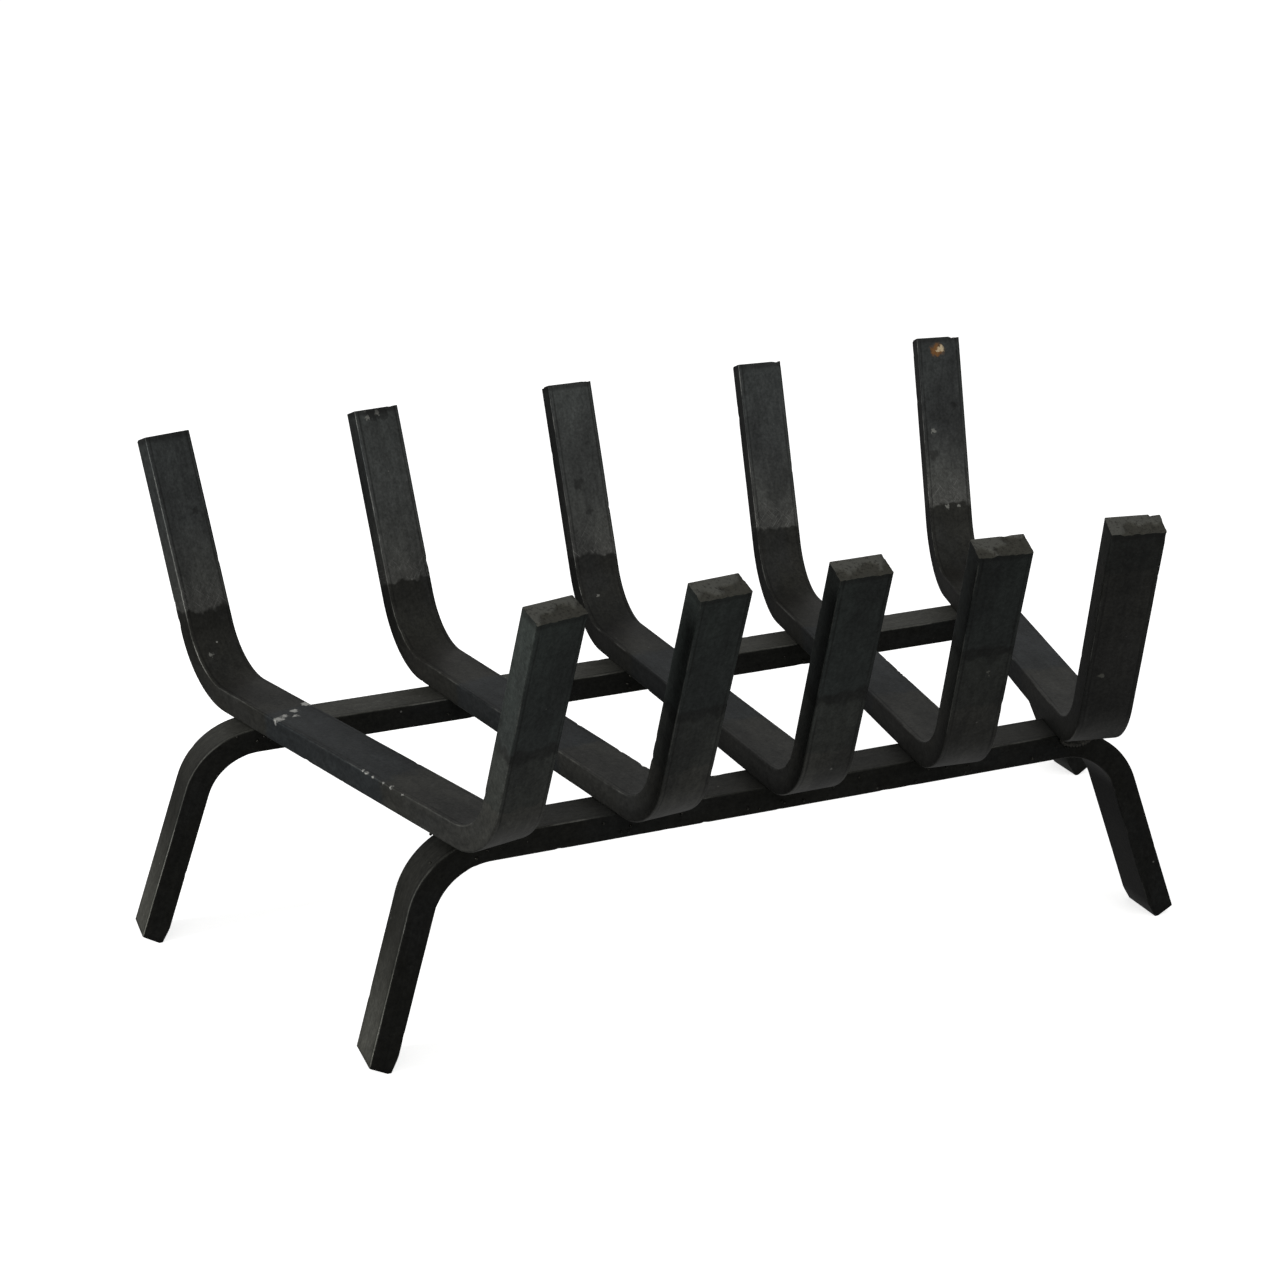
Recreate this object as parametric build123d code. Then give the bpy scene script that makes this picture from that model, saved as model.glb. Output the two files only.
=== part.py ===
"""Fireplace log rack: five bent flat bars welded across two bent leg rails.

Every bar and rail is cut from one stock, 1 by 1/2 inch hot-rolled flat bar, bent the easy way.
Frame: millimetres, +Z up, origin on the hearth under the middle of the rack. X runs along the
rails. -Y is the narrow side, with the short tines. +Y is the wide side, with the tall tines.
Each log bar lies in its own upright plane, and the bars fan out towards the wide side.
"""

import os
from math import atan, cos, degrees, radians, sin, tan

from build123d import *

# The stock
BAR_WIDTH = 25.4
BAR_THICKNESS = 12.7
MILL_RADIUS = 0.8  # the rounded corners that rolling leaves on the stock

# The two rails that carry the bars, bent down into legs at both ends
RAIL_TOP = 108.0  # height of the rails' top faces
RAIL_SPACING = 187.0  # from one rail's middle to the other's, along Y
RAIL_BEND_RADIUS = 30.0  # inside radius of a leg's bend
NARROW_RAIL_REACH = 177.4  # from the middle to the corner that the bend rounds off
WIDE_RAIL_REACH = 237.2
NARROW_RAIL_X = 6.5  # the rails aren't quite in line: the narrow one sits this far to +X
NARROW_LEG_SPLAY = 17.8  # degrees that a leg leans outward from upright
WIDE_LEG_SPLAY = 21.3

# The feet: the sheared leg end slopes a little, and its inner edge is ground off
FOOT_END_DROP = 2.0  # how much longer the leg is at the ridge than at its outer face
FOOT_RIDGE_INSET = 10.8  # from the leg's outer face to the ridge that stands on the hearth
FOOT_GRIND_LENGTH = 10.0  # how far the ground edge runs up the leg's inner face
FOOT_WEAR = 0.8  # the ridge is worn flat by this much

# The log bars, numbered along +X: where each one's middle crosses the rails, as welded by hand
NARROW_STATIONS = (-151.0, -69.0, 7.0, 86.0, 164.5)
WIDE_STATIONS = (-200.5, -96.5, 3.5, 106.5, 208.5)
SHORT_TINE_OVERHANG = 36.7  # from the narrow rail's middle to the bed's corner with the tine
SHORT_TINE_LENGTH = 127.3  # along the inner face, from that corner
SHORT_TINE_LEAN = 23.2  # degrees from upright, away from the logs
SHORT_TINE_BEND_RADIUS = 30.0
TALL_TINE_OVERHANG = 49.8
TALL_TINE_LENGTHS = (129.5, 129.5, 130.5, 129.5, 132.5)  # by hand, so they differ a little
TALL_TINE_LEAN = 18.1
TALL_TINE_BEND_RADIUS = 35.0

# The welds: short fillets under each bar, in the corner between it and a rail's side
WELD_LEG = 4.0
WELD_LENGTH = 20.0
WELD_CROWN = 0.7  # how far the middle of a bead bulges out of a flat fillet


def lean_vector(lean):
    """Unit vector of a tine or leg that leans by so many degrees from upright, as (out, up)."""
    return sin(radians(lean)), cos(radians(lean))


def reach_of_tine(overhang, length, lean):
    """How far a tine's outer top edge stands out from its rail's middle."""
    out, up = lean_vector(lean)
    return overhang + length * out + BAR_THICKNESS * up


def fan_angle(number):
    """Degrees that a log bar is turned from square to the rails, as its two stations set it."""
    return degrees(atan((WIDE_STATIONS[number] - NARROW_STATIONS[number]) / RAIL_SPACING))


def reach_in_y(number, overhang, length, lean):
    """How far along Y a tine's outermost top corner stands from its rail's middle."""
    turn = radians(fan_angle(number))
    return reach_of_tine(overhang, length, lean) * cos(turn) + BAR_WIDTH / 2 * abs(sin(turn))


# The origin is midway between the outermost corners of the two rows of tines
NUMBERS = range(len(NARROW_STATIONS))
SHORT_REACH = max(
    reach_in_y(n, SHORT_TINE_OVERHANG, SHORT_TINE_LENGTH, SHORT_TINE_LEAN) for n in NUMBERS
)
TALL_REACH = max(
    reach_in_y(n, TALL_TINE_OVERHANG, TALL_TINE_LENGTHS[n], TALL_TINE_LEAN) for n in NUMBERS
)
MIDDLE_Y = (SHORT_REACH - TALL_REACH) / 2
NARROW_RAIL_Y = MIDDLE_Y - RAIL_SPACING / 2
WIDE_RAIL_Y = MIDDLE_Y + RAIL_SPACING / 2


def centre_corner(lean):
    """How far outside the inner corner the stock's centre line turns, along the bed."""
    return BAR_THICKNESS / 2 * tan(radians(90 - lean) / 2)


def flat_bar(points, radii):
    """Flat bar bent along a path in the XZ plane, with its wide face square to that plane."""
    path = FilletPolyline(*[(x, 0, z) for x, z in points], radius=radii)
    start = Plane(origin=path @ 0, x_dir=(0, 1, 0), z_dir=path % 0)
    section = start * RectangleRounded(BAR_WIDTH, BAR_THICKNESS, MILL_RADIUS)
    return sweep(section, path=path)


def log_bar(number):
    """One log bar: short tine, flat bed, tall tine. It is drawn along +X from the narrow
    rail's middle at height 0, then turned and set on the rails."""
    run = RAIL_SPACING / cos(radians(fan_angle(number)))
    half = BAR_THICKNESS / 2
    out, up = lean_vector(SHORT_TINE_LEAN)
    near_corner = -SHORT_TINE_OVERHANG - centre_corner(SHORT_TINE_LEAN)
    inner_top = (-SHORT_TINE_OVERHANG - SHORT_TINE_LENGTH * out, BAR_THICKNESS + SHORT_TINE_LENGTH * up)
    near_tip = (inner_top[0] - half * up, inner_top[1] - half * out)
    out, up = lean_vector(TALL_TINE_LEAN)
    length = TALL_TINE_LENGTHS[number]
    far_corner = run + TALL_TINE_OVERHANG + centre_corner(TALL_TINE_LEAN)
    inner_top = (run + TALL_TINE_OVERHANG + length * out, BAR_THICKNESS + length * up)
    far_tip = (inner_top[0] + half * up, inner_top[1] - half * out)
    radii = (SHORT_TINE_BEND_RADIUS + half, TALL_TINE_BEND_RADIUS + half)
    bar = flat_bar([near_tip, (near_corner, half), (far_corner, half), far_tip], radii)
    place = Pos(NARROW_STATIONS[number], NARROW_RAIL_Y, RAIL_TOP)
    return place * Rot(0, 0, 90 - fan_angle(number)) * bar


def leg_rail(reach, splay, x, y):
    """A rail with its two legs: one bar bent down at both ends, its feet cut to the hearth."""
    out, up = lean_vector(splay)
    half = BAR_THICKNESS / 2
    ridge = (RAIL_TOP + FOOT_WEAR - FOOT_RIDGE_INSET * out) / up  # along the leg's outer face
    outer_end = ridge - FOOT_END_DROP
    corner = reach - half * tan(radians(90 - splay) / 2)
    spare = BAR_THICKNESS  # the path runs on past the foot, which is then cut to shape
    tip_x = reach + (ridge + spare) * out - half * up
    tip_z = -(ridge + spare) * up - half * out
    points = [(-tip_x, tip_z), (-corner, -half), (corner, -half), (tip_x, tip_z)]
    rail = flat_bar(points, RAIL_BEND_RADIUS + half)

    def on_leg(along, inward):
        """A point of the +X leg in the XZ plane, from its outer corner."""
        return reach + along * out - inward * up, -along * up - inward * out

    # The waste below the foot, as an outline in the leg's own plane, wide of the bar all round
    waste = [
        on_leg(outer_end - FOOT_END_DROP, -FOOT_RIDGE_INSET),
        on_leg(ridge, FOOT_RIDGE_INSET),
        on_leg(ridge - FOOT_GRIND_LENGTH, BAR_THICKNESS),
        on_leg(ridge - FOOT_GRIND_LENGTH, 2 * BAR_THICKNESS),
        on_leg(ridge + 2 * spare, 2 * BAR_THICKNESS),
        on_leg(ridge + 2 * spare, -FOOT_RIDGE_INSET),
    ]
    outline = make_face(Polyline(*[(x, 0, z) for x, z in waste], close=True))
    offcut = extrude(outline, amount=BAR_WIDTH, dir=(0, 1, 0), both=True)
    rail = rail - offcut - mirror(offcut, about=Plane.YZ)
    worn_away = Pos(0, 0, -RAIL_TOP) * Box(
        4 * reach, 2 * BAR_WIDTH, 2 * BAR_THICKNESS, align=(Align.CENTER, Align.CENTER, Align.MAX)
    )
    return Pos(x, y, RAIL_TOP) * (rail - worn_away)


def weld_bead(x, y, side):
    """One fillet under a bar at x, on the side of the rail at y that faces +Y or -Y."""
    face = y + side * BAR_WIDTH / 2
    crown = WELD_LEG / 2 + WELD_CROWN / 2**0.5
    corner = Polyline((0, -WELD_LEG), (0, 0), (WELD_LEG, 0))
    outline = make_face(corner + ThreePointArc(corner @ 1, (crown, -crown), corner @ 0))
    place = Plane(origin=(x, face, RAIL_TOP), x_dir=(0, side, 0), z_dir=(side, 0, 0))
    return extrude(place * outline, amount=WELD_LENGTH / 2, both=True)


def weld_pair(number, wide):
    """The two beads that hold one bar to one rail, as the two solids of one joint."""
    stations, y = (WIDE_STATIONS, WIDE_RAIL_Y) if wide else (NARROW_STATIONS, NARROW_RAIL_Y)
    slope = tan(radians(fan_angle(number)))
    beads = []
    for side in (-1, 1):
        x = stations[number] + side * slope * (BAR_WIDTH + WELD_LEG) / 2
        beads.append(weld_bead(x, y, side))
    return Compound(children=beads)


def build():
    """Every named piece of the rack."""
    pieces = {
        "narrow_leg_rail": leg_rail(NARROW_RAIL_REACH, NARROW_LEG_SPLAY, NARROW_RAIL_X, NARROW_RAIL_Y),
        "wide_leg_rail": leg_rail(WIDE_RAIL_REACH, WIDE_LEG_SPLAY, 0, WIDE_RAIL_Y),
    }
    for number in NUMBERS:
        pieces[f"log_bar_{number + 1}"] = log_bar(number)
        pieces[f"narrow_weld_{number + 1}"] = weld_pair(number, wide=False)
        pieces[f"wide_weld_{number + 1}"] = weld_pair(number, wide=True)
    return pieces


os.makedirs("parts", exist_ok=True)
for name, piece in build().items():
    export_step(piece, f"parts/{name}.step")
    box = piece.bounding_box()
    print(f"{name:16} {piece.volume / 1000:7.2f} cm3  "
          f"x {box.min.X:7.1f} {box.max.X:7.1f}  y {box.min.Y:7.1f} {box.max.Y:7.1f}  "
          f"z {box.min.Z:6.1f} {box.max.Z:6.1f}")
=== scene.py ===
# %% [markdown]
# # A fireplace log rack, forged from one size of flat bar
#
# This rack holds burning logs off the hearth. Five bars are bent up at both ends into tines, and
# they are welded across two rails whose ends are bent down into legs. The CAD model fixes every
# size. Here each bar gets the look of the real stock: black mill scale, sheared ends, rubbed
# edges, and the tone changes that heating and bending leave.
#
# The first cell loads the CAD model as a frame that never moves, and keeps its box.

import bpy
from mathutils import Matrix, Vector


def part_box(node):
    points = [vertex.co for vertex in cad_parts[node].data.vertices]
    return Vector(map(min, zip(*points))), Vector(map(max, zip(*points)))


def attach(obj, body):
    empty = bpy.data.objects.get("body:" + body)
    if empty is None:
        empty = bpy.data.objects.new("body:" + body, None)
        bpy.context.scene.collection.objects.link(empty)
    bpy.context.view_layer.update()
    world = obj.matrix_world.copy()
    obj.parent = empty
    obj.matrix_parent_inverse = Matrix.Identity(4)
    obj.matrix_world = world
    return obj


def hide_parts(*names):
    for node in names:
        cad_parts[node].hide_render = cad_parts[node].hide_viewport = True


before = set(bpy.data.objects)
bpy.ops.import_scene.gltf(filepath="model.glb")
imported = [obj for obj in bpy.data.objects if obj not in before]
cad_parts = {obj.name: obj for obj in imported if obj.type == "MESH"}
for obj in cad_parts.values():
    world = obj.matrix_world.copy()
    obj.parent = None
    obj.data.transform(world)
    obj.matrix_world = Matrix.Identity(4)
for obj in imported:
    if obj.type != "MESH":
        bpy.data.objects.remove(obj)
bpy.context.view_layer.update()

# %% [markdown]
# Blender works in metres and a metalworker in millimetres, so one factor turns one into the
# other. The stock's size and the places of the bars are read from the frame. Each weld sits
# where a bar crosses a rail, so the middles of the welds are the stations of the bars.

# %% Read the stock and the stations from the frame
import random
from bisect import bisect
from math import atan2, ceil, cos, pi, radians, sin, tan

import bmesh
import bpy
from mathutils import Matrix, Vector, noise

MM = 0.001
NUMBERS = range(1, 6)


def middle(node):
    """The middle of a CAD node's box."""
    low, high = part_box(node)
    return (low + high) / 2


rail_low, rail_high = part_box("wide_leg_rail")
RAIL_TOP = rail_high.z
WIDTH = rail_high.y - rail_low.y
THICK = WIDTH / 2  # the stock is flat bar, twice as wide as it is thick
MILL_RADIUS = 0.8 * MM  # the corners that rolling leaves on the stock
STATIONS = {n: (middle(f"narrow_weld_{n}").xy, middle(f"wide_weld_{n}").xy) for n in NUMBERS}
print(f"stock {WIDTH / MM:.1f} x {THICK / MM:.2f} mm, rail tops at {RAIL_TOP / MM:.1f} mm")

# %% [markdown]
# Every bar and rail starts as a straight length of stock. It could be a cube with loop cuts,
# but an end face drawn out step by step lets the rings of edges fall exactly where the bends
# start and stop. So a grid makes the sheared end, its rim is extruded from ring to ring, and
# a copy of the grid closes the far end. The four long corners are then rounded by a bevel.

# %% Straight stock
CELLS_ACROSS, CELLS_DEEP = 24, 12
LONGEST_STEP = 2.0 * MM
RINGS_PER_BEND = 24


def ring_places(stations, bends):
    """Where along X the rings fall. stations are the ends of the straight runs and bends, in
    order, and bends says which of the stretches between them are bends."""
    places = [stations[0]]
    for number, (start, stop) in enumerate(zip(stations, stations[1:])):
        rings = RINGS_PER_BEND if number in bends else ceil((stop - start) / LONGEST_STEP)
        places += [start + (stop - start) * ring / rings for ring in range(1, rings + 1)]
    return places


def straight_stock(places):
    """Flat bar along X with its underside at height 0 and a ring of edges at every place."""
    bm = bmesh.new()
    end = bmesh.ops.create_grid(bm, x_segments=CELLS_DEEP, y_segments=CELLS_ACROSS, size=0.5)["verts"]
    bmesh.ops.scale(bm, vec=(THICK, WIDTH, 1), verts=end)
    bmesh.ops.rotate(bm, matrix=Matrix.Rotation(pi / 2, 3, "Y"), verts=end)
    bmesh.ops.translate(bm, vec=(places[0], 0, THICK / 2), verts=end)
    rim = [e for e in bm.edges if e.is_boundary]
    far = bmesh.ops.duplicate(bm, geom=bm.verts[:] + bm.edges[:] + bm.faces[:])["geom"]
    far = [g for g in far if isinstance(g, bmesh.types.BMVert)]
    bmesh.ops.translate(bm, vec=(places[-1] - places[0], 0, 0), verts=far)
    for before, after in zip(places, places[1:]):
        made = bmesh.ops.extrude_edge_only(bm, edges=rim)["geom"]
        verts = {g for g in made if isinstance(g, bmesh.types.BMVert)}
        rim = [g for g in made if isinstance(g, bmesh.types.BMEdge) and set(g.verts) <= verts]
        bmesh.ops.translate(bm, vec=(after - before, 0, 0), verts=list(verts))
    bmesh.ops.remove_doubles(bm, verts=bm.verts, dist=0.01 * MM)
    bmesh.ops.recalc_face_normals(bm, faces=bm.faces)
    return bm


def round_corners(bm):
    """Round the four long corners, as rolling does."""
    corners = [
        e
        for e in bm.edges
        if len(e.link_faces) == 2
        and e.calc_face_angle() > radians(60)
        and abs((e.verts[0].co - e.verts[1].co).normalized().x) > 0.99
    ]
    bmesh.ops.bevel(
        bm, geom=corners, offset=MILL_RADIUS, offset_type="OFFSET", affect="EDGES",
        segments=3, profile=0.5, material=-1,
    )


print("a bar has", 2 * (CELLS_ACROSS + CELLS_DEEP), "faces around it before its corners are rounded")

# %% [markdown]
# The finish has to follow the bar round its bends, so the mesh remembers where everything was
# while the bar was still straight. That goes into attributes, which a material can read: how
# far along, across and deep a point lies in the stock, how far it is from the sheared end,
# which heat zone it is in, how much lighter or darker it is painted, which stands partly for
# rubbed scale and partly for painted highlight and painted shade, and which faces are cuts.

# %% Attributes that remember the straight bar
SHIFT = 900  # mm between the patterns of two pieces, so that no two look alike


def remember(bm, seed, place_of, wear_and_shade_at):
    """Write the attributes. place_of gives a point's place among the heat zones, in mm, from
    its X. The last argument gives how much lighter a point is painted, for rubbed scale and
    painted highlight, or darker, for painted shade, from its place, across and depth in mm."""
    stock = bm.verts.layers.float_vector.new("stock_mm")
    zone = bm.verts.layers.float.new("zone_mm")
    from_end = bm.verts.layers.float.new("from_end_mm")
    # how much lighter or darker a point is painted: rubbed scale, painted highlight and painted shade
    rubbed = bm.verts.layers.float.new("rubbed")
    low, high = min(v.co.x for v in bm.verts), max(v.co.x for v in bm.verts)
    for v in bm.verts:
        place, across, depth = place_of(v.co.x), v.co.y / MM, (v.co.z - THICK / 2) / MM
        v[stock] = (place + SHIFT * seed, across, depth)
        v[zone] = place
        v[from_end] = min(v.co.x - low, high - v.co.x) / MM
        v[rubbed] = wear_and_shade_at(place, across, depth)


def mark_cuts(bm):
    """Remember which faces are cuts across the bar. It is straight, so those face along X."""
    cut = bm.faces.layers.float.new("cut_face")
    bm.normal_update()
    for face in bm.faces:
        face[cut] = float(abs(face.normal.x) > 0.5)


def fade(value, none, full):
    """0 where value is at none, 1 where it is at full, and even in between."""
    return min(1, max(0, (value - none) / (full - none)))


print("attributes: stock_mm, zone_mm, from_end_mm, rubbed, cut_face")

# %% [markdown]
# Nothing that was rolled, sheared and hammered is quite flat. The faces get shallow waves, the
# corners get nicks, and a sheared end gets its step: the blade cuts smoothly part of the way
# through and the rest breaks off rough and a little lower. All of it only takes metal away, so
# the bar never grows past its CAD size.

# %% Waves, nicks and sheared ends
WAVE_DEPTH = 0.12 * MM
WAVE_LENGTH = 22 * MM
BREAK_DEPTH = 0.9 * MM
END_SLICE = 0.3 * MM  # points this near a sheared end belong to it
NICKS_PER_BAR = 26


def wave_faces(bm, seed):
    """Press shallow waves into the faces."""
    bm.normal_update()
    for v in bm.verts:
        place = Vector((v.co.x + seed, v.co.y, v.co.z)) / WAVE_LENGTH
        dip = 0.5 + 0.5 * noise.noise(place)
        v.co -= v.normal * WAVE_DEPTH * dip


def nick_corners(bm, seed):
    """Pull small dents into the long corners at random places."""
    rng = random.Random(seed)
    ordered = sorted(bm.verts, key=lambda v: v.co.x)
    places = [v.co.x for v in ordered]
    low, high = places[0], places[-1]
    for _ in range(NICKS_PER_BAR):
        corner = Vector((
            rng.uniform(low, high), rng.choice((-1, 1)) * WIDTH / 2, rng.choice((0, 1)) * THICK,
        ))
        reach = rng.uniform(1.2, 3.2) * MM
        depth = rng.uniform(0.15, 0.45) * MM
        inward = Vector((0, -corner.y, THICK / 2 - corner.z)).normalized()
        nearby = ordered[bisect(places, corner.x - reach) : bisect(places, corner.x + reach)]
        for v in nearby:
            gap = (v.co - corner).length / reach
            if gap < 1:
                v.co += inward * depth * (1 - gap * gap) ** 2


def break_ends(bm, seed):
    """Lower the part of each sheared end that broke instead of being cut, and remember it."""
    layer = bm.verts.layers.float.new("broken")
    low, high = min(v.co.x for v in bm.verts), max(v.co.x for v in bm.verts)
    for tip, inward in ((low, 1), (high, -1)):
        for v in bm.verts:
            if abs(v.co.x - tip) > END_SLICE:
                continue
            across, deep = v.co.y / WIDTH, v.co.z / THICK - 0.5
            wander = 0.9 * noise.noise(Vector((across * 4, deep * 2, 7 * seed + inward)))
            broken = min(1, max(0, (0.1 + wander - 0.8 * deep - 0.7 * across) / 0.1))
            rough = 0.75 + 0.7 * noise.noise(Vector((across * 14, deep * 7, seed)))
            v.co.x += inward * BREAK_DEPTH * broken * rough
            v[layer] = broken


# %% [markdown]
# A bend could be a Simple Deform modifier or an armature, but a press bends a bar in small
# strokes, and the same idea works here. For each stroke the free length is drawn back by one
# ring and turned a little about the die's centre. After the last stroke every ring of the bend
# sits on a true arc, and the tine beyond it is still straight.

# %% Bending over a die
def bend(bm, start, side, rise, inside_radius, turn):
    """Bend the stock beyond x = start towards side (+1 or -1), up (rise 1) or down (rise -1)."""
    radius = inside_radius + THICK / 2
    stroke = turn / RINGS_PER_BEND
    pitch = radius * stroke
    centre = Vector((start, 0, THICK / 2 + rise * radius))
    stroke_turn = Matrix.Rotation(-side * rise * stroke, 3, "Y")
    ordered = sorted(bm.verts, key=lambda v: v.co.x * side)
    places = [v.co.x * side for v in ordered]
    for k in range(RINGS_PER_BEND):
        beyond = ordered[bisect(places, start * side + (k + 0.5) * pitch) :]
        ahead = Vector((side * cos(k * stroke), 0, rise * sin(k * stroke)))
        bmesh.ops.translate(bm, vec=-pitch * ahead, verts=beyond)
        bmesh.ops.rotate(bm, cent=centre, matrix=stroke_turn, verts=beyond)


# %% [markdown]
# A finished mesh becomes an object that rides on the rack and stands for its CAD node. Faces
# that meet at a low angle are shaded as one smooth surface, and sharper edges stay crisp.

# %% From mesh to piece
def finish_piece(bm, name, material, node):
    """Make the bmesh an object that rides on the rack and stands for its CAD node."""
    mesh = bpy.data.meshes.new(name)
    bm.to_mesh(mesh)
    bm.free()
    mesh.shade_smooth()
    mesh.set_sharp_from_angle(angle=radians(40))
    mesh.materials.append(material)
    piece = bpy.data.objects.new(name, mesh)
    bpy.context.scene.collection.objects.link(piece)
    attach(piece, "root")
    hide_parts(node)
    print(f"{name}: {len(mesh.vertices)} vertices, {len(mesh.polygons)} faces")


# %% [markdown]
# ## Finishes
#
# A material is a tree of nodes. One small function adds a node, sets it and links it, and
# another turns an sRGB hex colour into the linear numbers that the shader expects. Because
# adding a node gives back its output, one node can be written inside the next.

# %% One function for every node
def linear(hex_colour):
    """An sRGB hex colour as linear RGBA."""
    shares = [int(hex_colour[i : i + 2], 16) / 255 for i in (1, 3, 5)]
    return [c / 12.92 if c <= 0.04045 else ((c + 0.055) / 1.055) ** 2.4 for c in shares] + [1]


def add(tree, kind, inputs=None, output=0, **settings):
    """Add a node with its settings and links, and give back one of its outputs. inputs gives
    each socket, by name or number, a value or another node's output."""
    node = tree.nodes.new("ShaderNode" + kind)
    for name, value in settings.items():
        setattr(node, name, value)
    for socket, value in (inputs or {}).items():
        if isinstance(value, bpy.types.NodeSocket):
            tree.links.new(value, node.inputs[socket])
        else:
            node.inputs[socket].default_value = value
    return node.outputs[output]


print("#808080 is", round(linear("#808080")[0], 3), "in linear light")

# %% [markdown]
# Hot-rolled steel leaves the mill with a skin of blue-black oxide called mill scale. Under it
# is metal, so the surface is metallic, dark and satin: it mirrors bright things softly and
# goes black where there is nothing to mirror. The scale is cloudy where it is thicker or
# thinner. The bar's own coordinates carry the patterns, so they run round the bends with it.

# %% Mill scale: the coordinates and the patterns
steel = bpy.data.materials.new("mill_scale_steel")
steel.use_nodes = True
tree = steel.node_tree
shader = tree.nodes["Principled BSDF"]
shader.inputs["Metallic"].default_value = 0.9

stock = add(tree, "Attribute", output="Vector", attribute_name="stock_mm")
zone = add(tree, "Attribute", output="Fac", attribute_name="zone_mm")
from_end = add(tree, "Attribute", output="Fac", attribute_name="from_end_mm")
# painted lightening and darkening: rubbed scale, painted highlight and painted shade
rubbed = add(tree, "Attribute", output="Fac", attribute_name="rubbed")
cut_face = add(tree, "Attribute", output="Fac", attribute_name="cut_face")

# name: size in mm along, across and deep, detail, roughness
PATTERNS = {
    "clouds": ((48, 20, 20), 4, 0.55),  # thick and thin scale
    "mottle": ((5, 4, 4), 5, 0.65),  # patches of flaked scale
    "streaks": ((60, 2.2, 2.2), 3, 0.6),  # drawn out by rolling
    "wear": ((26, 7, 7), 3, 0.55),  # stretches of a corner
    "speckle": ((1.7, 1.5, 1.5), 3, 0.7),  # pits and grains
    "grit": ((0.8, 0.8, 0.8), 2, 0.5),  # coarser than real, so that it shows
    "border": ((7, 6, 6), 3, 0.5),  # how the heat lines wander
}
pattern = {}
for name, (size, detail, roughness) in PATTERNS.items():
    scaled = add(tree, "VectorMath", {0: stock, 1: size}, operation="DIVIDE")
    settings = {"Vector": scaled, "Scale": 1, "Detail": detail, "Roughness": roughness}
    pattern[name] = add(tree, "TexNoise", settings)
print("patterns:", ", ".join(pattern))

# %% [markdown]
# A bar was heated in two places to bend it. Inside a heated zone the mill scale was replaced by
# a thin dark skin. At the zone's edge is a sharp line, and past it the steel stayed cool enough
# to keep its scale but was scoured bright by the tools. Colour stops along the bar say all
# this. A little noise is added to the place first, so that the borders wander.

# %% Mill scale: the heat zones
# mm from the narrow rail's middle, on a bar whose bed has the nominal length
HEAT_ZONES = (
    (-167, "#3f4542"),  # the short tine's end: the mill's own blue-green skin
    (-105, "#3d4240"),
    (-104, "#2f312f"),  # a thin dark band where the heat stopped
    (-99, "#333532"),
    (-98, "#464945"),
    (-70, "#434541"),
    (-68.5, "#4c4c47"),  # browner from the short bend to a third of the bed
    (-20, "#434340"),
    (44, "#40403c"),
    (49, "#373a3b"),  # the bed's middle
    (160, "#373a3b"),
    (165, "#3c3c38"),
    (212, "#3a3935"),
    (240, "#31312d"),
    (256, "#2a2a27"),  # the dark skin under the heat line
    (271.5, "#2b2b28"),
    (273.5, "#4e4e4b"),  # scoured bright just past the line
    (288, "#4b4c49"),
    (320, "#434544"),
    (370, "#404342"),
)
LOW, HIGH = HEAT_ZONES[0][0], HEAT_ZONES[-1][0]
WANDER = 6  # mm that a heat line strays to either side
wander = add(tree, "MapRange", {"Value": pattern["border"], "To Min": -WANDER, "To Max": WANDER})
place = add(tree, "Math", {0: zone, 1: wander}, operation="ADD")
share = add(tree, "MapRange", {"Value": place, "From Min": LOW, "From Max": HIGH})
colour = add(tree, "ValToRGB", {"Fac": share})
ramp = colour.node.color_ramp
ramp.elements[0].color = linear(HEAT_ZONES[0][1])
ramp.elements[1].color = linear(HEAT_ZONES[-1][1])
for at, tone in HEAT_ZONES[1:-1]:
    ramp.elements.new((at - LOW) / (HIGH - LOW)).color = linear(tone)
print(len(ramp.elements), "colour stops from", LOW, "to", HIGH, "mm")

# %% [markdown]
# Over the zones lie thinner layers, each one a pattern that fades in between two values and a
# colour that it leads to. Clouds and patches make the scale uneven. Corners are rubbed to
# steel in stretches, where the bar was dragged and stacked. Some stretches are painted lighter,
# partly as scale thinned by handling and partly as painted highlight, and others darker with
# painted shade. A thin dark line near each side of the wide faces is painted shade too, which
# dims the highlights of the rounded corners.

# %% Mill scale: layers over the zones
EDGE = 1.1  # mm from a long corner to where its wear has faded out
EDGE_SHADE_INSET = 10.6  # mm from the bar's middle to a thin dark line, painted shade that dims the rounded corners' highlights

sizes = add(tree, "VectorMath", {0: stock}, operation="ABSOLUTE")
inset = add(tree, "VectorMath", {0: (0, WIDTH / 2 / MM, THICK / 2 / MM), 1: sizes}, operation="SUBTRACT")
inset = add(tree, "VectorMath", {0: inset, 1: (0, 1, 1)}, operation="DOT_PRODUCT", output="Value")
corner = add(
    tree, "MapRange", {"Value": inset, "From Min": EDGE, "From Max": 0.5}, interpolation_type="SMOOTHSTEP"
)
worn = add(tree, "Math", {0: corner, 1: pattern["wear"]}, operation="MULTIPLY")
# a thin dark line near each side of the wide faces: painted shade that dims the highlights of the rounded
# corners
edge_shade = add(tree, "VectorMath", {0: sizes, 1: (0, EDGE_SHADE_INSET, 0)}, operation="SUBTRACT")
edge_shade = add(tree, "VectorMath", {0: edge_shade, 1: (0, 1, 0)}, operation="DOT_PRODUCT", output="Value")
edge_shade = add(tree, "Math", {0: edge_shade}, operation="ABSOLUTE")
edge_shade = add(tree, "MapRange", {"Value": edge_shade, "From Min": 0.9, "From Max": 0.3})
edge_shade = add(tree, "Math", {0: edge_shade, 1: pattern["wear"]}, operation="MULTIPLY")
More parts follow.
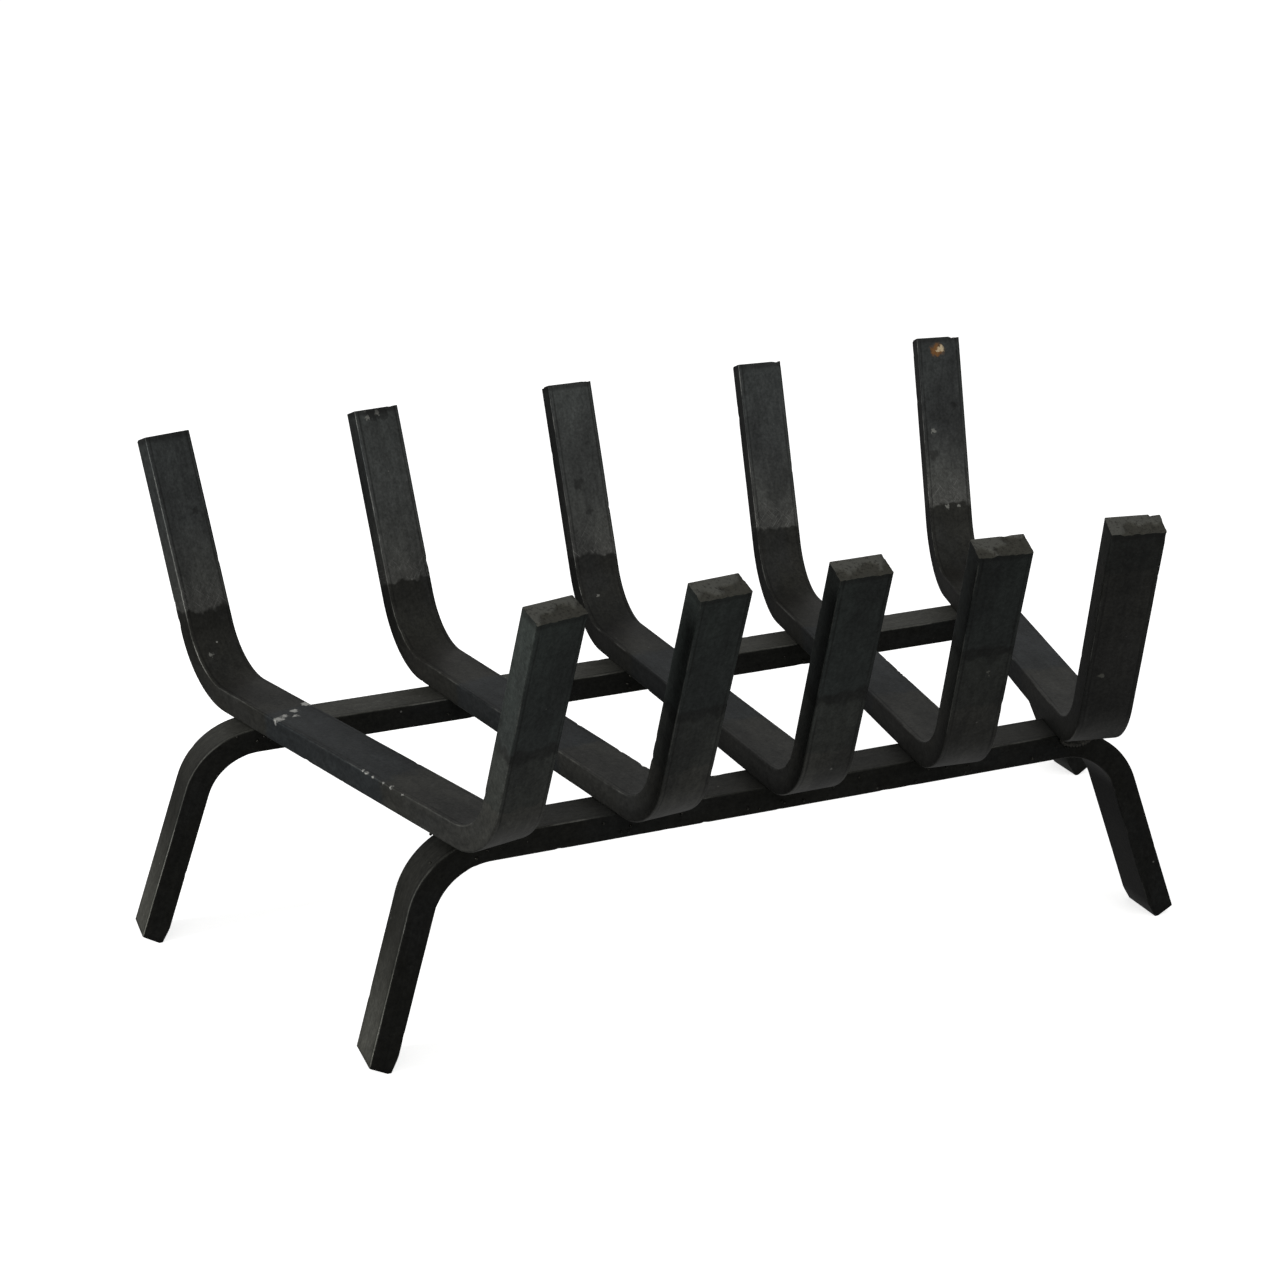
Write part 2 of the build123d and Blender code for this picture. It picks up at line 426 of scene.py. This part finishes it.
# pattern, where it starts, where it is full, its most, its colour
LAYERS = (
    (pattern["clouds"], 0.42, 0.66, 0.45, "#303131"),
    # lighter where the attribute is above 0: partly rubbed scale, partly painted highlight
    (rubbed, 0.0, 1.0, 0.55, "#77776f"),
    # darker where the attribute is below 0: painted shade
    (rubbed, 0.0, -1.0, 0.6, "#1c1c1b"),
    # the thin dark line near each side: painted shade
    (edge_shade, 0.30, 0.55, 0.5, "#1b1b1a"),
    (worn, 0.48, 0.62, 0.3, "#7d7d78"),
)
for driver, start, full, most, tone in LAYERS:
    settings = {"Value": driver, "From Min": start, "From Max": full, "To Max": most}
    share = add(tree, "MapRange", settings, interpolation_type="SMOOTHSTEP")
    colour = add(tree, "Mix", {0: share, 6: colour, 7: linear(tone)}, output=2, data_type="RGBA")

# Flakes, pits and rolling streaks lighten or darken whatever is under them by a factor
for name, darkest, lightest in (("mottle", 0.82, 1.2), ("speckle", 0.78, 1.26), ("streaks", 0.92, 1.1)):
    settings = {"Value": pattern[name], "From Min": 0.32, "From Max": 0.68}
    settings.update({"To Min": darkest, "To Max": lightest})
    factor = add(tree, "MapRange", settings)
    colour = add(tree, "VectorMath", {0: colour, "Scale": factor}, operation="SCALE")
print(len(LAYERS), "layers")

# %% [markdown]
# The scoured zone past the heat line shows fine crossing scratches, as a sanding block or a
# wire brush leaves. Each set is noise drawn out along one slant: turned first, then squeezed.

# %% Mill scale: crossing scratches
SCRATCH_SIZE = (9, 0.45, 9)  # mm long, wide and deep
scratches = None
for slant in (38, -42):
    turned = add(tree, "VectorRotate", {"Vector": stock, "Angle": radians(slant)}, rotation_type="Z_AXIS")
    drawn = add(tree, "VectorMath", {0: turned, 1: SCRATCH_SIZE}, operation="DIVIDE")
    lines = add(tree, "TexNoise", {"Vector": drawn, "Scale": 1, "Detail": 2, "Roughness": 0.6})
    both = {0: lines, 1: 0.0 if scratches is None else scratches}
    scratches = add(tree, "Math", both, operation="MAXIMUM")
scoured = add(
    tree, "MapRange", {"Value": place, "From Min": 300, "From Max": 275}, interpolation_type="SMOOTHSTEP"
)
heated = add(tree, "MapRange", {"Value": place, "From Min": 272, "From Max": 274})
scoured = add(tree, "Math", {0: scoured, 1: heated}, operation="MULTIPLY")
scratched = add(tree, "MapRange", {"Value": scratches, "From Min": 0.6, "From Max": 0.72})
share = add(tree, "Math", {0: scratched, 1: scoured}, operation="MULTIPLY")
share = add(tree, "Math", {0: share, 1: 0.4}, operation="MULTIPLY")
colour = add(tree, "Mix", {0: share, 6: colour, 7: linear("#8a8a86")}, output=2, data_type="RGBA")
print("scratches", SCRATCH_SIZE[1], "mm wide")

# %% [markdown]
# Some marks belong to one place on one bar: a rust bloom round a bare spot at a tine's tip,
# chips over a rail, dark scars and bright specks. Each is a small ball in the bar's own
# coordinates, and the colour changes inside it. Noise moves the points first, so that the
# border is ragged.

# %% Mill scale: single marks
TOP, UNDER = 6.35, -6.35  # the depth of the stock's two wide faces
# bar, place, across, depth, radius in mm, strength, colour
MARKS = (
    (5, 363, 1, TOP, 4.8, 0.6, "#8f5f2a"),
    (5, 363.5, -1, TOP, 2.5, 0.7, "#d9c9a6"),
    (1, 152, 11, TOP, 3.6, 0.9, "#c6c6c1"),
    (1, 154, 6, TOP, 2.6, 0.9, "#c6c6c1"),
    (1, 158, -1, TOP, 2.6, 0.9, "#c6c6c1"),
    (1, 163, -11, TOP, 3.4, 0.9, "#c6c6c1"),
    (1, 151, 2, TOP, 2.0, 0.9, "#c6c6c1"),
    (1, 64, 12.4, TOP, 1.9, 0.8, "#b6b6b1"),
    (1, 60, 12.6, TOP, 1.5, 0.8, "#b6b6b1"),
    (1, 54, 12.3, TOP, 1.7, 0.8, "#b6b6b1"),
    (1, 45, 12.6, TOP, 1.4, 0.8, "#b6b6b1"),
    (1, 38, 12.5, TOP, 1.6, 0.8, "#b6b6b1"),
    (1, 27, 12.6, TOP, 1.4, 0.8, "#b6b6b1"),
    (2, 364, -3, TOP, 4.6, 0.6, "#1d1d1c"),
    (2, 364, 3, TOP, 4.4, 0.6, "#1d1d1c"),
    (2, 365, 0, TOP, 1.7, 0.7, "#8a8a84"),
    (2, 363, 6, TOP, 1.5, 0.7, "#8a8a84"),
    (1, 325, -6, TOP, 2.8, 0.6, "#20201f"),
    (3, 312, 4, TOP, 4.2, 0.55, "#20201f"),
    (3, 296, 0, TOP, 2.6, 0.5, "#20201f"),
    (5, 302, 7, TOP, 3.6, 0.55, "#20201f"),
    (5, 330, -7, TOP, 2.4, 0.5, "#20201f"),
    (5, 316, 7, TOP, 1.8, 0.7, "#8a8a84"),
    (5, 271, 2, TOP, 1.3, 0.7, "#8a8a84"),
    (5, 271, -5, TOP, 1.2, 0.7, "#8a8a84"),
    (1, 245, 5, TOP, 1.6, 0.7, "#8a8a84"),
    (3, 246, 3, TOP, 1.5, 0.7, "#8a8a84"),
    (5, -82, 6, UNDER, 2.0, 0.6, "#77776f"),
    (4, -98, -3, UNDER, 1.6, 0.6, "#77776f"),
)
jitter = add(tree, "VectorMath", {0: stock, 1: (2.2, 2.2, 2.2)}, operation="DIVIDE")
jitter = add(tree, "TexNoise", {"Vector": jitter, "Scale": 1, "Detail": 3}, output="Color")
jitter = add(tree, "VectorMath", {0: jitter, 1: (6, 6, 6), 2: (-3, -3, -3)}, operation="MULTIPLY_ADD")
ragged = add(tree, "VectorMath", {0: stock, 1: jitter}, operation="ADD")
for bar, at, across, depth, radius, strength, tone in MARKS:
    centre = (at + SHIFT * bar, across, depth)
    reach = add(tree, "VectorMath", {0: ragged, 1: centre}, output="Value", operation="DISTANCE")
    settings = {"Value": reach, "From Min": radius, "From Max": 0.5 * radius, "To Max": strength}
    share = add(tree, "MapRange", settings, interpolation_type="SMOOTHSTEP")
    colour = add(tree, "Mix", {0: share, 6: colour, 7: linear(tone)}, output=2, data_type="RGBA")

# Weld spatter and grit stuck in the scale: a pale speck in about one cell of four
SPECK_SPACING, SPECK_SIZE = 11, 0.75  # mm
cells = add(tree, "TexVoronoi", {"Vector": stock, "Scale": 1 / SPECK_SPACING}, output="Distance")
kept = cells.node.outputs["Color"]
near = add(tree, "MapRange", {
    "Value": cells, "From Min": SPECK_SIZE / SPECK_SPACING, "From Max": 0.3 * SPECK_SIZE / SPECK_SPACING,
})
kept = add(tree, "MapRange", {"Value": kept, "From Min": 0.6, "From Max": 0.75, "To Max": 0.75})
share = add(tree, "Math", {0: near, 1: kept}, operation="MULTIPLY")
colour = add(tree, "Mix", {0: share, 6: colour, 7: linear("#a3a39d")}, output=2, data_type="RGBA")
print(len(MARKS), "single marks, and specks", SPECK_SPACING, "mm apart")

# %% [markdown]
# A sheared end is bare steel that has dulled: greyer and lighter than the scale, and blotched
# brown in its broken part. Just under it the blade dragged the scale into a dark band. Roughness
# follows the clouds, and one bump carries the flaked patches, the grit and the scratches.

# %% Mill scale: sheared ends, roughness and relief
settings = {"Value": from_end, "From Min": 4.2, "From Max": 2.0, "To Max": 0.45}
share = add(tree, "MapRange", settings, interpolation_type="SMOOTHSTEP")
colour = add(tree, "Mix", {0: share, 6: colour, 7: linear("#1f1f1e")}, output=2, data_type="RGBA")
broken = add(tree, "Attribute", output="Fac", attribute_name="broken")
sheared = add(
    tree, "Mix", {0: broken, 6: linear("#65655f"), 7: linear("#4d4c45")}, output=2, data_type="RGBA"
)
blotch = {"Value": pattern["speckle"], "From Min": 0.48, "From Max": 0.34, "To Max": 0.7}
blotch = add(tree, "MapRange", blotch)
sheared = add(tree, "Mix", {0: blotch, 6: sheared, 7: linear("#2c2a26")}, output=2, data_type="RGBA")
colour = add(tree, "Mix", {0: cut_face, 6: colour, 7: sheared}, output=2, data_type="RGBA")

roughness = add(tree, "MapRange", {"Value": pattern["clouds"], "To Min": 0.38, "To Max": 0.62})
roughness = add(tree, "Math", {0: pattern["grit"], 1: 0.1, 2: roughness}, operation="MULTIPLY_ADD")
relief = add(tree, "Math", {0: pattern["grit"], 1: 0.5, 2: pattern["mottle"]}, operation="MULTIPLY_ADD")
relief = add(tree, "Math", {0: pattern["speckle"], 1: 0.8, 2: relief}, operation="MULTIPLY_ADD")
furrows = add(tree, "Math", {0: scratches, 1: scoured}, operation="MULTIPLY")
relief = add(tree, "Math", {0: furrows, 1: -0.8, 2: relief}, operation="MULTIPLY_ADD")
normal = add(tree, "Bump", {"Height": relief, "Strength": 0.6, "Distance": 0.2 * MM})
for socket, value in {"Base Color": colour, "Roughness": roughness, "Normal": normal}.items():
    tree.links.new(value, shader.inputs[socket])
print("material", steel.name, "has", len(tree.nodes), "nodes")

# %% [markdown]
# Weld metal cools from white hot in the air, so it carries its own dark glassy scale with
# lighter flecks where slag has popped off. It isn't stretched along anything, so its pattern
# reads plain Object coordinates, turned into millimetres.

# %% Weld metal
weld_metal = bpy.data.materials.new("weld_metal")
weld_metal.use_nodes = True
tree = weld_metal.node_tree
shader = tree.nodes["Principled BSDF"]
shader.inputs["Metallic"].default_value = 0.9
at = add(tree, "TexCoord", output="Object")
at = add(tree, "VectorMath", {0: at, 1: (MM, MM, MM)}, operation="DIVIDE")
flecks = add(tree, "TexNoise", {"Vector": at, "Scale": 0.8, "Detail": 3, "Roughness": 0.6})
share = add(tree, "MapRange", {"Value": flecks, "From Min": 0.42, "From Max": 0.66})
colour = add(
    tree, "Mix", {0: share, 6: linear("#262624"), 7: linear("#4f4d47")}, output=2, data_type="RGBA"
)
roughness = add(tree, "MapRange", {"Value": flecks, "To Min": 0.3, "To Max": 0.55})
normal = add(tree, "Bump", {"Height": flecks, "Strength": 0.5, "Distance": 0.1 * MM})
for socket, value in {"Base Color": colour, "Roughness": roughness, "Normal": normal}.items():
    tree.links.new(value, shader.inputs[socket])
print("material", weld_metal.name, "has", len(tree.nodes), "nodes")

# %% [markdown]
# ## The log bars
#
# Each bar is bent twice, up both times. The short tine stands over the narrow side and the
# tall one over the wide side, and the bars fan out between them. The lean and the die of each
# bend are the maker's settings. The tall tine's length comes from the height of its CAD box.

# %% The bends of a log bar
SHORT = {"overhang": 36.7 * MM, "lean": radians(23.2), "inside": 30 * MM, "length": 127.3 * MM}
TALL = {"overhang": 49.8 * MM, "lean": radians(18.1), "inside": 35 * MM}


def tangent(tine):
    """How far a bend starts before its corner."""
    return tine["inside"] * tan((pi / 2 - tine["lean"]) / 2)


def arc(tine):
    """The length of stock that a bend takes up, along its middle."""
    return (tine["inside"] + THICK / 2) * (pi / 2 - tine["lean"])


BED_START = tangent(SHORT) - SHORT["overhang"]
NOMINAL_RUN = 187 * MM  # between the rails' middles, square to them
NOMINAL_BED_END = NOMINAL_RUN + TALL["overhang"] - tangent(TALL)
print(f"bends take {arc(SHORT) / MM:.1f} and {arc(TALL) / MM:.1f} mm of the bar")

# %% [markdown]
# The bars that slant more have longer beds, so the heat zones are stretched to fit each bed. The
# first short tine's left side gets a painted highlight, and the sides and undersides of the bars
# get painted shade, more on the bars past the first. The tall tines differ a little from each
# other.

# %% Log bars
ON_FACE, ON_SIDE = 5.5, 12.2  # mm from the stock's middle to where a wide face or a side starts
TALL_TINE_RUBBED = {1: -0.1, 2: 0.2, 3: 0.2, 4: -0.35, 5: -0.4}
# painted shade on each bar's sides and undersides, by its number
SHADED_SIDES = {1: -0.1, 2: -0.4, 3: -0.95, 4: -0.85, 5: -0.9}
SHADED_UNDERSIDES = {1: -0.2, 2: -0.4, 3: -0.45, 4: -0.65, 5: -0.85}
SHORT_HEAT_LINES = {1: 9, 2: 0, 3: 4, 4: -8, 5: -75}  # how far each lies from the usual, mm


def log_bar(number):
    """One log bar, from straight stock to its place on the rails."""
    narrow, wide = STATIONS[number]
    tall = dict(TALL, length=(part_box(f"log_bar_{number}")[1].z - RAIL_TOP - THICK) / cos(TALL["lean"]))
    bed_end = (wide - narrow).length + tall["overhang"] - tangent(tall)
    short_free, tall_free = (t["length"] - tangent(t) for t in (SHORT, tall))
    stations = [BED_START - arc(SHORT) - short_free, BED_START - arc(SHORT), BED_START]
    stations += [bed_end, bed_end + arc(tall), bed_end + arc(tall) + tall_free]
    stretch = (NOMINAL_BED_END - BED_START) / (bed_end - BED_START)

    def place_of(x):
        on_bed = min(max(x, BED_START), bed_end)
        return (x - on_bed + BED_START + (on_bed - BED_START) * stretch) / MM

    def wear_and_shade_at(place, across, depth):
        if depth > ON_FACE and abs(across) < ON_SIDE:
            return TALL_TINE_RUBBED[number] * fade(place, 280, 320)
        # painted highlight on the left side of the first short tine
        if number == 1 and across > ON_SIDE:
            return 0.2 * fade(place, -55, -75)
        # painted shade on the sides and the undersides
        return SHADED_SIDES[number] if abs(across) > ON_SIDE else SHADED_UNDERSIDES[number]

    bm = straight_stock(ring_places(stations, bends=(1, 3)))
    mark_cuts(bm)
    round_corners(bm)
    remember(bm, number, place_of, wear_and_shade_at)
    zone_layer = bm.verts.layers.float["zone_mm"]
    for v in bm.verts:
        v[zone_layer] -= SHORT_HEAT_LINES[number] * fade(v[zone_layer], -45, -66)
    wave_faces(bm, number)
    nick_corners(bm, number)
    break_ends(bm, number)
    bend(bm, BED_START, -1, 1, SHORT["inside"], pi / 2 - SHORT["lean"])
    bend(bm, bed_end, 1, 1, tall["inside"], pi / 2 - tall["lean"])
    heading = atan2(wide.y - narrow.y, wide.x - narrow.x)
    place = Matrix.Translation((narrow.x, narrow.y, RAIL_TOP)) @ Matrix.Rotation(heading, 4, "Z")
    bmesh.ops.transform(bm, matrix=place, verts=bm.verts)
    finish_piece(bm, f"log_bar_{number}_forged", steel, f"log_bar_{number}")


for number in NUMBERS:
    log_bar(number)

# %% [markdown]
# ## The leg rails
#
# A rail is one bar bent down at both ends. Its feet were sheared a little out of square and the
# inner edge was ground off, so that the leg stands on a ridge which has worn flat. Planes cut
# these faces, the first two while the bar is still straight and the last at the hearth.

# %% Cutting with a plane
RAIL_INSIDE = 30 * MM
FOOT_END_DROP = 2 * MM
FOOT_RIDGE_INSET = 10.8 * MM
FOOT_GRIND_LENGTH = 10 * MM
FOOT_WEAR = 0.8 * MM
CUT_SPARE = 6 * MM  # stock left past the foot, for the cuts
SPLAYS = {"narrow_leg_rail": radians(17.8), "wide_leg_rail": radians(21.3)}


def cut_away(bm, point, normal):
    """Cut the mesh at a plane, drop what lies beyond it and close the cut."""
    geom = bm.verts[:] + bm.edges[:] + bm.faces[:]
    bmesh.ops.bisect_plane(
        bm, geom=geom, dist=0.001 * MM, plane_co=point, plane_no=normal, clear_outer=True
    )
    rim = [e for e in bm.edges if e.is_boundary]
    bmesh.ops.holes_fill(bm, edges=rim, sides=0)


print("feet are ground", FOOT_GRIND_LENGTH / MM, "mm up their inner faces")

# %% [markdown]
# The rails have the dark skin of a heated zone from end to end. Their tops are painted lighter,
# the wide rail's most, and so are the legs' outer faces, more and more towards the feet: painted
# highlight, partly rubbed wear. Their sides and undersides get painted shade, most inside the
# bends, and the legs' inner faces are darker towards the feet.

# %% Leg rails
RAIL_ZONE = 258  # mm, a place in the dark skin among the heat zones
# how much lighter the rail tops and the legs' outer faces are painted: painted highlight, partly rubbed
# wear
TOP_HIGHLIGHT_AND_WEAR = {"narrow_leg_rail": 0.27, "wide_leg_rail": 0.68}
LEG_HIGHLIGHT_AND_WEAR, FOOT_HIGHLIGHT_AND_WEAR = 0.28, 1.0
TOP_STARTS, TOP_FULL = 5.9, 6.3  # mm from the stock's middle, over its rounded corner


def leg_rail(node, seed):
    """A rail with its two legs, from straight stock to its place under the bars."""
    splay = SPLAYS[node]
    turn = pi / 2 - splay
    ridge = (RAIL_TOP + FOOT_WEAR - FOOT_RIDGE_INSET * sin(splay)) / cos(splay)
    outer_end = ridge - FOOT_END_DROP
    low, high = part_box(node)
    reach = (high.x - low.x) / 2 - outer_end * sin(splay)
    outside_tangent = (RAIL_INSIDE + THICK) * tan(turn / 2)
    arc_length = (RAIL_INSIDE + THICK / 2) * turn
    start = reach - outside_tangent
    corner = start + arc_length - outside_tangent  # where the leg's length is measured from
    tip = corner + ridge + CUT_SPARE
    leg_start = start + arc_length
    stations = [-tip, -leg_start, -start, start, leg_start, tip]
    bm = straight_stock(ring_places(stations, bends=(1, 3)))
    mark_cuts(bm)
    round_corners(bm)
    for side in (-1, 1):
        on_ridge = (side * (corner + ridge), 0, THICK - FOOT_RIDGE_INSET)
        cut_away(bm, on_ridge, Vector((side * FOOT_RIDGE_INSET, 0, FOOT_END_DROP)).normalized())
        rest = THICK - FOOT_RIDGE_INSET
        cut_away(bm, on_ridge, Vector((side * rest, 0, -FOOT_GRIND_LENGTH)).normalized())

    def wear_and_shade_at(place, across, depth):
        out = abs(place)
        on_rail = fade(out, leg_start / MM, start / MM)
        down = fade(out, leg_start / MM + 15, (corner + ridge) / MM)
        if depth < TOP_STARTS:  # the sides and the underside: a little painted shade all over, more on the underside inside the bends, and darker towards the feet
            return -0.9 * max(down, fade(abs(out - leg_start / MM), 45, 15)) * (depth < -TOP_STARTS) - 0.15
        # the top and the legs' outer faces: painted lighter, painted highlight and partly rubbed wear
        leg = LEG_HIGHLIGHT_AND_WEAR + (FOOT_HIGHLIGHT_AND_WEAR - LEG_HIGHLIGHT_AND_WEAR) * down
        return fade(depth, TOP_STARTS, TOP_FULL) * (TOP_HIGHLIGHT_AND_WEAR[node] * on_rail + leg * (1 - on_rail))

    remember(bm, seed, lambda x: x / MM, wear_and_shade_at)
    zones = bm.verts.layers.float["zone_mm"]
    for v in bm.verts:
        v[zones] = RAIL_ZONE
    wave_faces(bm, seed)
    nick_corners(bm, seed)
    for side in (-1, 1):
        bend(bm, side * start, side, -1, RAIL_INSIDE, turn)
    at = middle(node)
    bmesh.ops.translate(bm, vec=(at.x, at.y, RAIL_TOP - THICK), verts=bm.verts)
    cut_away(bm, (0, 0, 0), (0, 0, -1))
    finish_piece(bm, f"{node}_forged", steel, node)


leg_rail("narrow_leg_rail", 11)
leg_rail("wide_leg_rail", 12)

# %% [markdown]
# ## Welds
#
# A hand-laid bead is a row of overlapping ripples, each one a drop of metal that froze before
# the next. A disc is extruded along the seam and swells and shrinks from step to step. One
# bead, at the front of the fifth bar, was laid hotter and sagged down the rail.

# %% Weld beads
BEAD_RADIUS = 2.6 * MM
BEAD_LENGTH = 20 * MM
BEAD_STEPS = 36
RIPPLE = 0.1
BEAD_TIP = 0.2  # how thick a bead is at its ends, as a share of its full size
SAGGED_BEAD = {"node": "narrow_weld_5", "side": -1, "radius": 5.8 * MM, "shift": -1.5 * MM}


def weld_bead(bm, place, length, side, radius, rng):
    """One bead along X in the corner under a bar, on the rail's side that faces side * Y."""
    disc = bmesh.ops.create_circle(bm, cap_ends=True, segments=20, radius=radius)["verts"]
    bmesh.ops.rotate(bm, matrix=Matrix.Rotation(pi / 2, 3, "Y"), verts=disc)
    start = place - Vector((length / 2, 0, 0)) + Vector((0, side * BEAD_RADIUS, -radius)) * 0.25
    bmesh.ops.translate(bm, vec=start, verts=disc)
    size = BEAD_TIP
    flat = BEAD_RADIUS / radius  # a sagged bead hangs lower but stands out no further
    around = Matrix.Translation(-start)
    bmesh.ops.scale(bm, vec=(1, size * flat, size), space=around, verts=disc)
    face = disc[0].link_faces[0]
    centre = start
    for step in range(1, BEAD_STEPS + 1):
        face = bmesh.ops.extrude_discrete_faces(bm, faces=[face])["faces"][0]
        move = Vector((length / BEAD_STEPS, 0, 0))
        bmesh.ops.translate(bm, vec=move, verts=face.verts[:])
        centre = centre + move
        bulge = max(0, 1 - (2 * step / BEAD_STEPS - 1) ** 2) ** 0.4
        ripple = 1 + RIPPLE * (step % 3 - 1) * rng.uniform(0.6, 1.2)
        target = max(BEAD_TIP, bulge * ripple)
        around = Matrix.Translation(-centre)
        bmesh.ops.scale(bm, vec=(1, target / size, target / size), space=around, verts=face.verts[:])
        size = target


print("beads are", BEAD_LENGTH / MM, "mm long")

# %% [markdown]
# Welding also throws drops of metal about. Those that land on the rail freeze there as small
# domes, so a few balls are sunk half into the rail's side near each bead. They are scattered
# along a straight line. Under the two outer bars the narrow rail already bends down, and there
# a few of them hang clear of it, which is a fault that is still to be mended.

# %% Spatter and the welds of each joint
DROPS_PER_BEAD = 7


def spatter(bm, place, face_y, rng):
    """Frozen drops in the plane of the rail's side at face_y, near the bead at place."""
    for _ in range(DROPS_PER_BEAD):
        radius = rng.uniform(0.35, 0.85) * MM
        ball = bmesh.ops.create_icosphere(bm, subdivisions=2, radius=radius)["verts"]
        spot = (place.x + rng.gauss(0, 14) * MM, face_y, RAIL_TOP - rng.uniform(2, 11) * MM)
        bmesh.ops.translate(bm, vec=spot, verts=ball)


def weld(node, seed):
    """The two beads of one joint, with their spatter."""
    rng = random.Random(seed)
    narrow, wide = STATIONS[int(node[-1])]
    at = narrow if node.startswith("narrow") else wide
    slope = (wide.x - narrow.x) / (wide.y - narrow.y)
    low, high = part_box(node)
    offset = (high.y - low.y) / 2 - (high.z - low.z)
    bm = bmesh.new()
    for side in (-1, 1):
        place = Vector((at.x + side * slope * offset, at.y + side * offset, high.z))
        sagged = node == SAGGED_BEAD["node"] and side == SAGGED_BEAD["side"]
        radius = SAGGED_BEAD["radius"] if sagged else BEAD_RADIUS
        start = place + Vector((SAGGED_BEAD["shift"], 0, 0)) if sagged else place
        weld_bead(bm, start, BEAD_LENGTH, side, radius, rng)
        spatter(bm, place, at.y + side * WIDTH / 2, rng)
    bmesh.ops.recalc_face_normals(bm, faces=bm.faces)
    finish_piece(bm, f"{node}_laid", weld_metal, node)


for seed, node in enumerate(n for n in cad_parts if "weld" in n):
    weld(node, seed)

# %% [markdown]
# ## Floor, light and camera
#
# The rack stands on a plain pale floor like studio paper. Paper under studio lamps is bright
# enough to be nearly white, and a little glow of its own saves lamps that would also wash out
# the dark steel. Its reflection on the steel comes from the light below instead.

# %% Floor
FLOOR_REACH = 30  # m from its middle to an edge
PAPER_GLOW = 0.72
floor_mesh = bpy.data.meshes.new("floor")
bm = bmesh.new()
bmesh.ops.create_grid(bm, x_segments=1, y_segments=1, size=FLOOR_REACH)
bm.to_mesh(floor_mesh)
bm.free()
floor = bpy.data.objects.new("floor", floor_mesh)
bpy.context.scene.collection.objects.link(floor)
paper = bpy.data.materials.new("matt_paper")
paper.use_nodes = True
shader = paper.node_tree.nodes["Principled BSDF"]
shader.inputs["Base Color"].default_value = linear("#f4f4f2")
shader.inputs["Roughness"].default_value = 0.9
shader.inputs["Specular IOR Level"].default_value = 0.0
shader.inputs["Emission Color"].default_value = linear("#ffffff")
shader.inputs["Emission Strength"].default_value = PAPER_GLOW
floor_mesh.materials.append(paper)
floor.visible_glossy = False
floor.visible_diffuse = False
print("floor is", 2 * FLOOR_REACH, "m wide")

# %% [markdown]
# Metal shows what it mirrors, so the room matters as much as the lamps. It is dark, with soft
# pale areas: a white ceiling, a wide soft panel in front, another low behind, and the bright
# paper below. Each one is a patch of the world's sky that fades out from its direction. Where
# the camera looks past the floor, the room is plain and pale.

# %% The room
# towards, cosine where it starts, cosine where it is full, strength
PANELS = (
    ((0, 0, 1), 0.2, 1, 0.342),
    ((0.2, -0.8, 0.5), 0.5, 1, 0.552),
    ((0.3, 0.9, 0.3), 0.6, 1, 0.338),
    ((-1, 0, 0.2), 0.6, 1, 0.064),
    ((0, 0, -1), 0.3, 1, 0.463),
)
world = bpy.data.worlds.new("studio")
world.use_nodes = True
tree = world.node_tree
towards = add(tree, "TexCoord", output="Generated")
glow = 0.0
for direction, start, full, strength in PANELS:
    facing = {0: towards, 1: Vector(direction).normalized()}
    facing = add(tree, "VectorMath", facing, output="Value", operation="DOT_PRODUCT")
    settings = {"Value": facing, "From Min": start, "From Max": full, "To Max": strength}
    patch = add(tree, "MapRange", settings, interpolation_type="SMOOTHSTEP")
    glow = add(tree, "Math", {0: patch, 1: glow}, operation="ADD")
seen = add(tree, "LightPath", output="Is Camera Ray")
glow = add(tree, "Mix", {0: seen, 2: glow, 3: 1.0})
tree.nodes["Background"].inputs["Color"].default_value = (1, 1, 1, 1)
tree.links.new(glow, tree.nodes["Background"].inputs["Strength"])
bpy.context.scene.world = world
bpy.context.scene.view_settings.view_transform = "Standard"
print(len(PANELS), "pale areas in the room")

# %% [markdown]
# Three soft lamps give the steel its direction. The strongest stands low on the left, so the
# faces that look left are the lightest, and the other two only lift the fronts and the tops.

# %% Lamps
# name, place, side of the square, watts
LAMPS = (
    ("left_softbox", (-2.5, 0, 0.7), 0.8, 50),
    ("front_softbox", (0.3, -2.2, 1.6), 1.2, 7.5),
    ("top_softbox", (0, 0, 2.4), 1.6, 1.6),
)
LAMP_AIM = Vector((0, 0, 0.1))
for name, place, side, watts in LAMPS:
    lamp = bpy.data.lights.new(name, "AREA")
    lamp.size = side
    lamp.energy = watts
    light = bpy.data.objects.new(name, lamp)
    light.location = place
    aim = LAMP_AIM - Vector(place)
    light.rotation_euler = aim.to_track_quat("-Z", "Y").to_euler()
    bpy.context.scene.collection.objects.link(light)
print(len(LAMPS), "lamps")

# %% [markdown]
# The camera looks down on the rack from the narrow side and a little from the left, through a
# longish lens, and it is rolled a little, as a hand-held one is.

# %% Camera
CAMERA_PLACE = Vector((-0.4103, -1.0969, 0.5362))
CAMERA_AIM = Vector((-0.02, 0.0189, 0.1452))
CAMERA_ROLL = radians(-2.47)
camera_data = bpy.data.cameras.new("camera")
camera_data.lens = 68.85
camera_data.sensor_width = 36
camera = bpy.data.objects.new("camera", camera_data)
bpy.context.scene.collection.objects.link(camera)
look = (CAMERA_AIM - CAMERA_PLACE).to_track_quat("-Z", "Y").to_matrix()
look = look @ Matrix.Rotation(CAMERA_ROLL, 3, "Z")
camera.matrix_world = Matrix.Translation(CAMERA_PLACE) @ look.to_4x4()
bpy.context.scene.camera = camera
print(f"camera {(CAMERA_AIM - CAMERA_PLACE).length:.2f} m from its aim")
